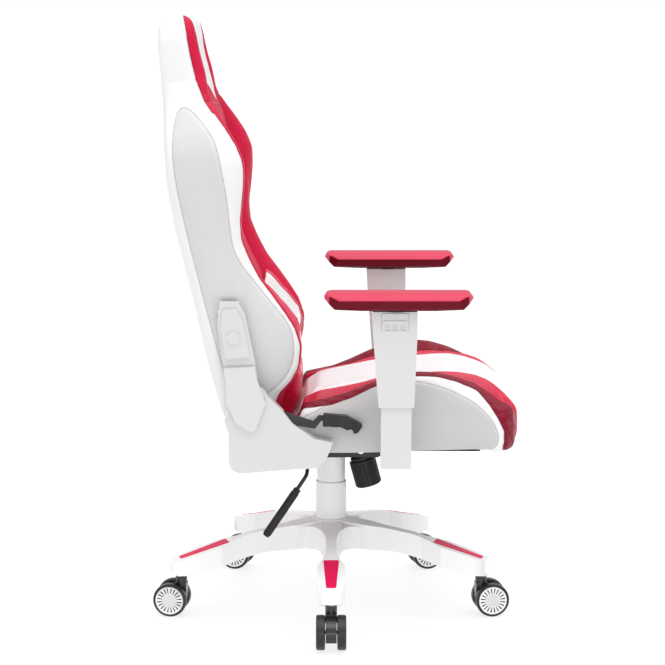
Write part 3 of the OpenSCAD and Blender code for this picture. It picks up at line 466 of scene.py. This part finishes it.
def ramped(tree, value, low, high, at_low=0.0, at_high=1.0, kind="LINEAR"):
    """A number stretched between two ends and held beyond them."""
    return node(tree, "MapRange", {
        "Value": value, "From Min": low, "From Max": high, "To Min": at_low, "To Max": at_high,
    }, interpolation_type=kind).outputs["Result"]


def raised(tree, height, strength, distance, over=None, **settings):
    """Relief that follows a height, laid over coarser relief where there is any."""
    ins = {"Height": height, "Strength": strength, "Distance": distance}
    if over is not None:
        ins["Normal"] = over
    return node(tree, "Bump", ins, **settings).outputs["Normal"]


def leatherette(name, red=CRIMSON, quilt=0.0, rough=0.4, shine=0.18):
    """Stitched leatherette in two colours: fine pebbled grain, soft wrinkles that gather at
    the seams, dark stitched grooves, and diamond quilting and needle holes on the tinted side."""
    mat, tree, shader, place = finish_nodes(name, WHITE, rough, specular=shine)
    seam = node(tree, "Attribute", attribute_name="seam").outputs["Fac"]
    panel = node(tree, "Attribute", attribute_name="panel").outputs["Vector"]
    painted_panel_shade = node(tree, "Attribute", attribute_name="shade").outputs["Fac"]
    tint = node(tree, "Attribute", attribute_name="tint").outputs["Fac"]
    side = ramped(tree, tint, -0.0004, 0.0004)
    # the two colours, and painted shade that darkens the white of the side panels
    white = mottled(tree, place, [c * 0.985 for c in WHITE], WHITE, 9)
    white = blend(tree, painted_panel_shade, white, (*[c * 0.66 for c in WHITE], 1))
    tinted = mottled(tree, place, [c * 0.94 for c in red], [c * 1.05 for c in red], 22, detail=5)
    cover = blend(tree, side, white, tinted)
    # a darker groove along each seam
    groove = ramped(tree, seam, 0.0003, 0.0026, 1.0, 0.0, "SMOOTHSTEP")
    cord = blend(tree, side, (0.30, 0.28, 0.285, 1), (0.06, 0.002, 0.012, 1))
    cover = blend(tree, maths(tree, "MULTIPLY", groove, 0.6), cover, cord)
    # needle holes in rows along the tinted panels
    dots = node(tree, "TexVoronoi", {"Vector": panel, "Scale": 210.0, "Randomness": 0.0},
                voronoi_dimensions="2D")
    hole = ramped(tree, dots.outputs["Distance"], 0.16, 0.26, 1.0, 0.0)
    holes = maths(tree, "MULTIPLY", hole, side)
    cover = blend(tree, maths(tree, "MULTIPLY", holes, 0.4), cover, (0.16, 0.003, 0.016, 1))
    tree.links.new(cover, shader.inputs["Base Color"])
    tree.links.new(varied(tree, place, rough - 0.05, rough + 0.06, 30), shader.inputs["Roughness"])
    # relief, coarse to fine: wrinkles, quilting, grooves and holes, pebbled grain
    drawn = node(tree, "Mapping", {"Vector": place, "Scale": (1, 1, 0.55)}).outputs["Vector"]
    creases = node(tree, "TexNoise", {
        "Vector": drawn, "Scale": 17.0, "Detail": 3.0, "Roughness": 0.5, "Distortion": 0.6,
    })
    gather = ramped(tree, seam, 0.0, 0.06, 1.0, 0.45)
    relief = raised(tree, maths(tree, "MULTIPLY", creases.outputs["Fac"], gather), 0.35, 0.006)
    if quilt:
        turned = node(tree, "Mapping", {"Vector": panel, "Rotation": (0, 0, math.radians(45))})
        parts = node(tree, "SeparateXYZ", {"Vector": turned.outputs["Vector"]})
        waves = []
        for axis in ("X", "Y"):
            lane = maths(tree, "MULTIPLY", parts.outputs[axis], math.pi / quilt)
            waves.append(maths(tree, "ABSOLUTE", maths(tree, "SINE", lane)))
        pillow = maths(tree, "POWER", maths(tree, "MULTIPLY", *waves), 0.4)
        relief = raised(tree, maths(tree, "MULTIPLY", pillow, side), 0.6, 0.0035, relief)
    relief = raised(tree, maths(tree, "MAXIMUM", groove, holes), 0.6, 0.0014, relief, invert=True)
    pebble = node(tree, "TexVoronoi", {"Vector": place, "Scale": 620.0, "Randomness": 1.0},
                  feature="DISTANCE_TO_EDGE")
    relief = raised(tree, pebble.outputs["Distance"], 0.18, 0.0005, relief)
    tree.links.new(relief, shader.inputs["Normal"])
    return mat


def smoothstep(a, b, t):
    """Rises softly from 0 at a to 1 at b."""
    t = np.clip((t - a) / (b - a), 0, 1)
    return t * t * (3 - 2 * t)


def outline(points, along, across, low, high, count):
    """Largest reach of the points in even bins, as stations and values to interpolate."""
    edges = np.linspace(low, high, count + 1)
    stations, values = [], []
    for a, b in zip(edges, edges[1:]):
        inside = (points[:, along] >= a) & (points[:, along] < b)
        if inside.any():
            stations.append((a + b) / 2)
            values.append(across[inside].max())
    return np.array(stations), np.array(values)


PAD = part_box("seat_pad")[1].x           # half width of the centre pad
PAD_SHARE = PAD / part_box("seat_bolster_left")[1].x
BAND = PAD - 0.036                      # where the rolled band starts
FRAME_HALF = 0.212                      # half width of what lies over the frame
FRAME_TOP = 0.400                       # and its height
FOAM_FOOT = 0.378                       # height of the foam's hidden foot
FOAM_REAR = 0.07                        # where the foam goes under the backrest
SITTING = (0.415, 0.45)                 # heights between which a wall turns into the sitting face
NOSE = (-0.36, -0.33)                   # depths between which the front turns into the top


def seat_shape(p):
    """Seams drawn down beside the centre pad, and the band between them rolled up."""
    q = p.copy()
    x = np.abs(q[:, 0])
    top = smoothstep(*SITTING, q[:, 2])
    front = 1 - smoothstep(*NOSE, q[:, 1])
    valley = 0.013 * np.exp(-((x - PAD) / 0.011) ** 2) + 0.004 * np.exp(-((x - BAND) / 0.006) ** 2)
    roll = 0.005 * np.clip(np.sin(np.clip((x - BAND) / (PAD - 0.006 - BAND), 0, 1) * math.pi), 0, 1)
    q[:, 2] += (roll - valley) * top * (1 - 0.5 * front)
    q[:, 1] += (valley - roll) * 0.6 * front * (1 - top * 0.5)
    return q


def seat_held(p):
    """Points on the hidden walls and over the frame, where the cover can't swell."""
    x, height = np.abs(p[:, 0]), p[:, 2]
    on_frame = (height < FRAME_TOP) & (x < FRAME_HALF)
    on_seam = np.abs(x - PAD) < 0.004
    return on_frame | on_seam | (height < FOAM_FOOT) | (p[:, 1] > FOAM_REAR)


def to_line(v, w, line):
    """Distance from each point to a broken line."""
    best = np.full(len(v), 1.0)
    for a, b in zip(line, line[1:]):
        run = b - a
        t = np.clip(((v - a[0]) * run[0] + (w - a[1]) * run[1]) / (run @ run), 0, 1)
        best = np.minimum(best, np.hypot(v - a[0] - t * run[0], w - a[1] - t * run[1]))
    return best


def within(v, w, line):
    """Whether each point lies inside a closed line."""
    inside = np.zeros(len(v), bool)
    for a, b in zip(line, np.roll(line, -1, 0)):
        crosses = (a[1] > w) != (b[1] > w)
        inside ^= crosses & (v < (b[0] - a[0]) * (w - a[1]) / (b[1] - a[1] + 1e-12) + a[0])
    return inside


def eased(line, times=2):
    """A broken line with its corners cut twice, as a seam runs."""
    for _ in range(times):
        ahead = line[:-1] * 0.75 + line[1:] * 0.25
        behind = line[:-1] * 0.25 + line[1:] * 0.75
        line = np.vstack([line[:1], np.stack([ahead, behind], 1).reshape(-1, 2), line[-1:]])
    return line


seat_pad = stuffed("Seat_pad", "seat_pad", 0.0055, 0.006, seat_held, seat_shape)
p = coords(seat_pad)
x = np.abs(p[:, 0])
panel = np.stack([p[:, 0] + 0.4, p[:, 1] - p[:, 2], 0 * x], 1)
tailored(seat_pad, x - BAND, np.abs(x - BAND), panel)
seat_pad.data.materials.append(leatherette("pad_leatherette", rough=0.34, shine=0.5))
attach(seat_pad, "seat")
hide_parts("seat_pad")


def mirrored_copy(piece, name):
    """The same piece for the chair's other side."""
    other = piece.copy()
    other.data = piece.data.copy()
    other.name = name
    scene.collection.objects.link(other)
    put(other, coords(other) * (-1, 1, 1))
    edited(other, bpy.ops.mesh.flip_normals)
    return other


bolster = stuffed("Seat_bolster_right", "seat_bolster_right", 0.0055, 0.007, seat_held, seat_shape)
p = coords(bolster)
x = np.abs(p[:, 0])
ys, widths = outline(p, 1, x, -0.384, 0.1, 40)
half = np.interp(p[:, 1], ys, widths)
crest_x = np.maximum(0.87 * half, 0.198)
across = crest_x - x
# the tinted panel wraps round the front corner, and the plain side panel keeps inside its seam
corner = np.interp(p[:, 2], (0.385, 0.393, 0.416, 0.443, 0.470, 0.500, 0.517, 0.53),
                   (-0.347, -0.349, -0.349, -0.336, -0.319, -0.293, -0.266, -0.25))
edge = np.maximum(np.minimum(across, p[:, 2] - 0.386), corner - p[:, 1])
SEAT_SEAM = eased(np.array([
    (0.09, 0.430), (0.023, 0.462), (-0.062, 0.502), (-0.117, 0.520), (-0.187, 0.519),
    (-0.239, 0.502), (-0.292, 0.475), (-0.325, 0.439), (-0.338, 0.405), (-0.332, 0.384), (-0.30, 0.37),
]))
outer = across < 0.004
run = to_line(p[:, 1], p[:, 2], SEAT_SEAM)
seams = np.minimum(np.abs(edge), np.where(outer, run, 0.05))
# The white side panel inside the seam gets painted shade, darker than the band above it.
side_panel = within(p[:, 1], p[:, 2], np.vstack([SEAT_SEAM, (0.15, 0.3)])) & outer
shade = smoothstep(0, 0.004, run) * side_panel
panel = np.stack([x - p[:, 2], p[:, 1], 0 * x], 1)
tailored(bolster, edge, seams, panel, shade)
bolster.data.materials.append(
    leatherette("seat_leatherette", [c * 0.36 for c in CRIMSON], quilt=0.026))
for piece, side in ((bolster, "right"), (mirrored_copy(bolster, "Seat_bolster_left"), "left")):
    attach(piece, "seat")
    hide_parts(f"seat_bolster_{side}")

# ---------------------------------------------------------------- recliner
# Steel plates on both sides, turning on one pivot, under white moulded covers; on the
# sitter's right a bent black lever with a moulded finger grip frees the backrest.

# The covers, sleeves and buttons take a darker copy of the base's white plastic: painted shade on their
# sides.
cover_white_painted_shade = moulding("cover_plastic_painted_shade", (0.63, 0.625, 0.632), 0.36, grain=420, relief=0.01,
                       tone=0.003, wander=0.2)
for side in ("left", "right"):
    fitted(f"side_bracket_{side}", f"Side_bracket_{side}", "seat", white_coat_painted_shade,
           width=0.0006)
    fitted(f"side_cover_{side}", f"Side_cover_{side}", "seat", cover_white_painted_shade,
           width=0.003, segments=3, angle=28)
    fitted(f"hinge_strap_{side}", f"Hinge_strap_{side}", "backrest", bright_steel,
           width=0.0005)
    fitted(f"strap_cover_{side}", f"Strap_cover_{side}", "backrest", cover_white_painted_shade,
           width=0.0018, segments=3, angle=28)
fitted("recline_lever", "Recline_lever", "recline_lever", black_coat, width=0.0006)
fitted("recline_grip", "Recline_grip", "recline_lever", black_moulding,
       width=0.0018, segments=3)

# ---------------------------------------------------------------- backrest
# Foam on a bent tube frame under stitched leatherette: a centre cushion between two winged
# bolsters, tinted in front and plain behind, with a plain panel let into the head.
HINGE = Vector(joints["backrest_recline"]["pos_m"])
LEAN = math.radians(10)


def leaning(p):
    """Depth to the rear and height along the leaning back, from the recline axis."""
    y, z = p[:, 1] - HINGE.y, p[:, 2] - HINGE.z
    return y * math.cos(LEAN) - z * math.sin(LEAN), y * math.sin(LEAN) + z * math.cos(LEAN)


def upright(p, v, w):
    """The points moved to a depth and height along the leaning back."""
    q = p.copy()
    q[:, 1] = HINGE.y + v * math.cos(LEAN) + w * math.sin(LEAN)
    q[:, 2] = HINGE.z - v * math.sin(LEAN) + w * math.cos(LEAN)
    return q


fitted("back_frame", "Back_frame", "backrest", black_coat, width=0.0003)
back_stitch = leatherette("back_leatherette")
FOOT, CROWN = -0.085, 0.79              # ends of the cushions along the leaning back


def halves(w):
    """Half width of the whole back at each height."""
    return np.interp(w, BACK_W, BACK_HALF)


def back_shape(p):
    """Seams drawn in beside the centre cushion, on the padded face only."""
    v, w = leaning(p)
    x = np.abs(p[:, 0])
    zone = halves(w) * PAD_SHARE
    front = 1 - smoothstep(-0.005, 0.03, v)
    head = smoothstep(0.57, 0.62, w) * (1 - smoothstep(0.775, 0.81, w))
    valley = 0.010 * (1 - head) * np.exp(-((x - zone) / 0.012) ** 2)
    # the head is dished between two firm rolls
    share = x / halves(w)
    dish = 0.011 * (1 - smoothstep(0.50, 0.72, share))
    crest = smoothstep(0.60, 0.80, share) * (1 - smoothstep(0.86, 1.0, share))
    roll = 0.013 * crest * smoothstep(0.60, 0.66, w)
    return upright(p, v + (valley + (dish - roll) * head) * front, w)


def back_held(p):
    """Points on the hidden walls, round the frame and at the foot."""
    v, w = leaning(p)
    x = np.abs(p[:, 0])
    return (np.abs(x - halves(w) * PAD_SHARE) < 0.004) | (w < -0.02)


# the back's outline, measured once on an even copy of one bolster
dense = copy_of("Back_outline", "back_bolster_right")
worked(dense, "REMESH", mode="VOXEL", voxel_size=0.008)
p = coords(dense)
v, w = leaning(p)
BACK_W, BACK_HALF = outline(np.stack([p[:, 0], v, w], 1), 2, np.abs(p[:, 0]), FOOT, CROWN, 40)
BACK_HALF = np.convolve(np.pad(BACK_HALF, 1, "edge"), (0.25, 0.5, 0.25), "valid")
bpy.data.objects.remove(dense)


def head_panel(x, w):
    """Distance outside the plain panel in the head, a wedge with its point down."""
    return x - np.interp(w, (0.56, 0.594, 0.638, 0.675, 0.72, 0.756, CROWN),
                         (-0.06, 0, 0.078, 0.10, 0.108, 0.112, 0.112))


def head_line(x):
    """Height of the seam across the back, under the head."""
    return 0.582 + 0.12 * x


# the seam round each wing's outer panel, as depths and heights along the leaning back
SIDE_SEAM = eased(np.array([
    (-0.02, 0.0), (0.032, 0.016), (0.048, 0.16), (0.060, 0.315), (0.064, 0.44), (0.060, 0.52),
    (0.052, 0.557), (0.040, 0.592), (0.026, 0.600), (0.008, 0.588), (-0.016, 0.548), (-0.028, 0.520),
    (-0.030, 0.429), (-0.026, 0.370), (-0.022, 0.311), (-0.032, 0.276), (-0.047, 0.247),
    (-0.066, 0.212), (-0.084, 0.178), (-0.103, 0.145), (-0.110, 0.110), (-0.100, 0.060),
    (-0.070, 0.025), (-0.02, 0.0),
]))


cushion = stuffed("Back_cushion", "back_cushion", 0.006, 0.006, back_held, back_shape)
p = coords(cushion)
v, w = leaning(p)
x = np.abs(p[:, 0])
front = np.interp(w, (0.70, 0.765), (0.03, -0.05)) - v
tint = np.minimum(front, head_panel(x, w))
head_seam = np.abs(head_line(x) - w)
seams = np.where(v < 0.0, np.minimum(np.abs(tint), head_seam), 0.05)
tailored(cushion, tint, seams, np.stack([p[:, 0] + 0.4, w, 0 * w], 1))
cushion.data.materials.append(back_stitch)
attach(cushion, "backrest")
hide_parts("back_cushion")

wing = stuffed("Back_bolster_right", "back_bolster_right", 0.006, 0.007, back_held, back_shape)
p = coords(wing)
v, w = leaning(p)
x = np.abs(p[:, 0])
half = halves(w)
across = half * np.interp(w, (0.575, 0.61), (0.875, 1.05)) - x
# how far back the tinted face reaches, on the wing's roll and on the foam beside it
front = np.interp(w, (0.52, 0.55, 0.568, 0.604, 0.648, 0.70, 0.752, 0.80),
                  (0, -0.034, -0.034, -0.016, -0.006, -0.003, -0.003, 0)) - v
front = np.where(x < 0.8 * half, np.interp(w, (0.70, 0.765), (0.03, -0.006)) - v, front)
tint = np.minimum(np.minimum(across, front), head_panel(x, w))
run = np.where(across < 0.02, to_line(v, w, SIDE_SEAM), 0.05)
head_seam = np.where(front > 0, np.abs(head_line(x) - w), 0.05)
seams = np.minimum(np.minimum(np.abs(tint), head_seam), run)
# Painted shade on the white outer panel inside the seam, a little lighter than the seat's.
shade = smoothstep(0, 0.004, run) * (within(v, w, SIDE_SEAM) & (across < 0.02)) * 0.7
over = np.where(w > head_line(x), x + v, x - v)
tailored(wing, tint, seams, np.stack([over, w, 0 * w], 1), shade)
wing.data.materials.append(back_stitch)
for piece, side in ((wing, "right"), (mirrored_copy(wing, "Back_bolster_left"), "left")):
    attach(piece, "backrest")
    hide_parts(f"back_bolster_{side}")

# the lumbar cushion: plain, with a firm tinted roll at each end
ROLL_START = 0.096                      # distance of a roll's seam from the middle


def lumbar_held(p):
    """Points of the flat rear, which lies on the back cushion."""
    v, w = leaning(p)
    return v > -0.066 + 0.03 * (w - 0.045)


def lumbar_shape(p):
    """The foam sags between two firm rolls at the ends, and flattens where it meets the sitter."""
    v, w = leaning(p)
    proud = smoothstep(0.0, 0.05, -0.05 - v)
    end = smoothstep(ROLL_START - 0.006, ROLL_START + 0.006, np.abs(p[:, 0]))
    upper = smoothstep(0.06, 0.17, w)
    return upright(p, v + (0.010 - 0.007 * end) * proud, w - (0.032 - 0.011 * end) * upper)


lumbar = stuffed("Lumbar_pad", "lumbar_pad", 0.0045, 0.008, lumbar_held, lumbar_shape)
p = coords(lumbar)
v, w = leaning(p)
x = np.abs(p[:, 0])
rolls = x - ROLL_START
panel = np.stack([p[:, 0] + 0.4, w - v, 0 * w], 1)
tailored(lumbar, rolls, np.abs(rolls), panel, pull=0.0012, width=0.006)
# Its red is lighter than the crimson elsewhere: a painted highlight on the rolls, over their glossy
# finish.
lumbar.data.materials.append(
    leatherette("lumbar_leatherette_painted_highlight", (0.74, 0.035, 0.10), rough=0.3, shine=0.6))
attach(lumbar, "backrest")
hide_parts("lumbar_pad")

# ---------------------------------------------------------------- armrests
# White moulded sleeves that rise on the steel posts, each with a release button, and soft
# tinted pads moulded round a plate, which turn on a disc and slide on its rail.

SIDE_SHARE = 0.62                       # the pads' sides reach up to this share of their height
# The pad's lower, upright faces take a much darker copy of the same crimson: painted shade under the lit
# top.
pad_skin = moulding("arm_pad_skin", (0.60, 0.006, 0.06), 0.32, grain=900, relief=0.0, tone=0.02,
                    specular=0.5, wander=0.3)
pad_painted_shade = moulding("arm_pad_painted_shade", (0.13, 0.002, 0.011), 0.4, grain=900, relief=0.02, tone=0.03,
                    specular=0.1)
for side in ("left", "right"):
    fitted(f"arm_sleeve_{side}", f"Arm_sleeve_{side}", f"arm_{side}", cover_white_painted_shade,
           width=0.0025, segments=3, angle=26)
    fitted(f"arm_button_{side}", f"Arm_button_{side}", f"arm_button_{side}", cover_white_painted_shade,
           width=0.0006)
    fitted(f"arm_disc_{side}", f"Arm_disc_{side}", f"arm_disc_{side}", black_moulding,
           width=0.0005)
    # its sides are drawn taller than the plain solid's, and the slope above them shorter
    rest = copy_of(f"Arm_pad_{side}", f"arm_pad_{side}")
    low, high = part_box(f"arm_pad_{side}")
    p = coords(rest)
    rise = (p[:, 2] - low.z) / (high.z - low.z)
    rise = np.interp(rise, (0, 0.2, 0.42, 0.60, 0.85, 1), (0, 0.12, 0.60, 0.66, 0.86, 1))
    p[:, 2] = low.z + rise * (high.z - low.z)
    put(rest, p)
    rounded(rest, 0.003, 3, 20)
    rest.data.materials.append(pad_skin)
    rest.data.materials.append(pad_painted_shade)
    # faces low on the pad that don't face up get the painted shade
    for face in rest.data.polygons:
        if face.normal.z < 0.2 and face.center.z < low.z + SIDE_SHARE * (high.z - low.z):
            face.material_index = 1
    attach(rest, f"arm_pad_{side}")
    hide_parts(f"arm_pad_{side}")

# ---------------------------------------------------------------- sizes
low, high = cad_box
